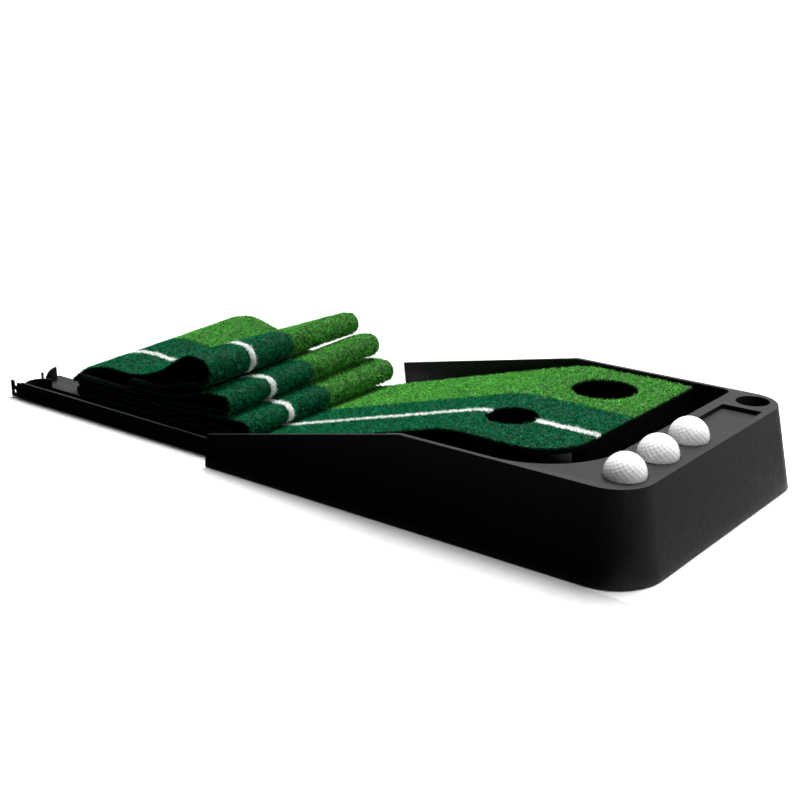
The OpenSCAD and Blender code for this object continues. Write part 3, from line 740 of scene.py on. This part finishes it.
FLOOR_SIZE = 60
FLOOR_Z = -0.0002                 # just under the object, so that the two never share a plane
CARD_Z = 0.0001
BLACK_CLOTH, GREY_CLOTH = 0.001, 0.3
TOWARD_LIGHT = (0.1, 0.9, 0.38)
CAMERA_PLACE = (1.00805, -1.20559, 0.56331)
CAMERA_TILT, CAMERA_TURN = 71.847, 38.193


def build_floor():
    """A pale floor."""
    paint = Surface("pale_floor", (0.86, 0.86, 0.86), 0.95, specular=0.0)
    fleck = paint.noise(60, 2)
    paint.colours(fleck, [(0.3, (0.85, 0.85, 0.85)), (0.7, (0.88, 0.88, 0.88))])
    bpy.ops.mesh.primitive_plane_add(size=FLOOR_SIZE, location=(0, 0, FLOOR_Z))
    floor = bpy.context.object
    floor.name = "floor"
    floor.data.materials.append(paint.material)


def build_card(name, low, high, shade):
    """A card on the floor between two corners, unseen by the camera."""
    cloth = Surface(name, (shade,) * 3, 1.0, specular=0.0)
    dark, pale = shades((shade,) * 3, 0.9, 1.1)
    cloth.colours(cloth.noise(300, 2), [(0.3, dark), (0.7, pale)])
    middle = [(a + b) / 2 for a, b in zip(low, high)]
    bpy.ops.mesh.primitive_plane_add(size=1, location=(*middle, CARD_Z))
    card = bpy.context.object
    card.name = name
    card.scale = (high[0] - low[0], high[1] - low[1], 1)
    card.data.materials.append(cloth.material)
    card.visible_camera = False
    card.visible_shadow = False


def build_cards():
    """Cards that keep the pale floor's bounce off the dark sides of the object."""
    shell_low, shell_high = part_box("housing_shell")
    near_y = shell_low.y - 0.002
    track_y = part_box("track_rail")[0].y - 0.001
    mat_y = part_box("mat_backing")[1].y
    left_x = shell_low.x - 0.004
    end_x = shell_high.x + 0.004
    build_card("card_beside_the_object", (-1.9, -3.6), (1.5, near_y), BLACK_CLOTH)
    build_card("card_beside_the_track", (-1.9, near_y), (left_x, track_y), BLACK_CLOTH)
    build_card("card_beyond_the_mat", (-0.5, mat_y), (left_x, mat_y + 0.2), BLACK_CLOTH)
    build_card("card_before_the_end_wall", (end_x, near_y), (end_x + 1.2, 1.2), GREY_CLOTH)


def build_world():
    """A studio that is bright behind and over the object and dark on the other side."""
    world = bpy.data.worlds.new("studio")
    bpy.context.scene.world = world
    world.use_nodes = True
    tree = world.node_tree
    direction = tree.nodes.new("ShaderNodeTexCoord").outputs["Generated"]
    toward_light = tree.nodes.new("ShaderNodeVectorMath")
    toward_light.operation = "DOT_PRODUCT"
    toward_light.inputs[1].default_value = Vector(TOWARD_LIGHT).normalized()
    tree.links.new(direction, toward_light.inputs[0])
    fall = tree.nodes.new("ShaderNodeMapRange")
    fall.interpolation_type = "SMOOTHSTEP"
    fall.inputs["From Min"].default_value = -0.15
    fall.inputs["From Max"].default_value = 0.75
    fall.inputs["To Min"].default_value = 0.02
    fall.inputs["To Max"].default_value = 0.85
    tree.links.new(toward_light.outputs["Value"], fall.inputs["Value"])
    tree.links.new(fall.outputs["Result"], tree.nodes["Background"].inputs["Strength"])
    tree.nodes["Background"].inputs["Color"].default_value = (1, 1, 1, 1)


def aim(lamp, place, target):
    """Puts a lamp at a place and points it at a target."""
    lamp.location = place
    lamp.rotation_euler = (Vector(target) - Vector(place)).to_track_quat("-Z", "Y").to_euler()


def build_lamps():
    """A wide, soft sun overhead, a weak fill beyond the end wall and a spot on the balls."""
    sun = bpy.data.lights.new("overhead", "SUN")
    sun.energy = 5.6
    sun.angle = math.radians(40)
    overhead = placed("overhead", sun)
    overhead.rotation_euler = Vector((-0.1, 0.36, 0.93)).to_track_quat("Z", "Y").to_euler()

    fill = bpy.data.lights.new("side_fill", "AREA")
    fill.shape = "DISK"
    fill.size = 0.8
    fill.energy = 2
    aim(placed("side_fill", fill), place=(2.3, -0.5, 1.6), target=(0.1, 0, 0.05))

    spot = bpy.data.lights.new("ball_light", "SPOT")
    spot.spot_size = math.radians(9)
    spot.spot_blend = 0.6
    spot.shadow_soft_size = 0.2
    spot.energy = 36
    low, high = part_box("ball_cover_2")
    aim(placed("ball_light", spot), place=(1.9, -1.3, 1.0), target=(low + high) / 2)


def build_camera():
    """The camera, at the photograph's viewing angle."""
    lens = bpy.data.cameras.new("camera")
    lens.lens = 60.70
    lens.sensor_width = 36
    camera = placed("camera", lens)
    camera.location = CAMERA_PLACE
    camera.rotation_euler = (math.radians(CAMERA_TILT), 0, math.radians(CAMERA_TURN))
    bpy.context.scene.camera = camera
    bpy.context.scene.view_settings.view_transform = "Standard"


for spec in MOULDINGS:
    moulding(*spec)
for number in (1, 2, 3):
    ball(number)
    recolour(f"ball_core_{number}", core_rubber)
build_mat()
build_floor()
build_cards()
build_world()
build_lamps()
build_camera()
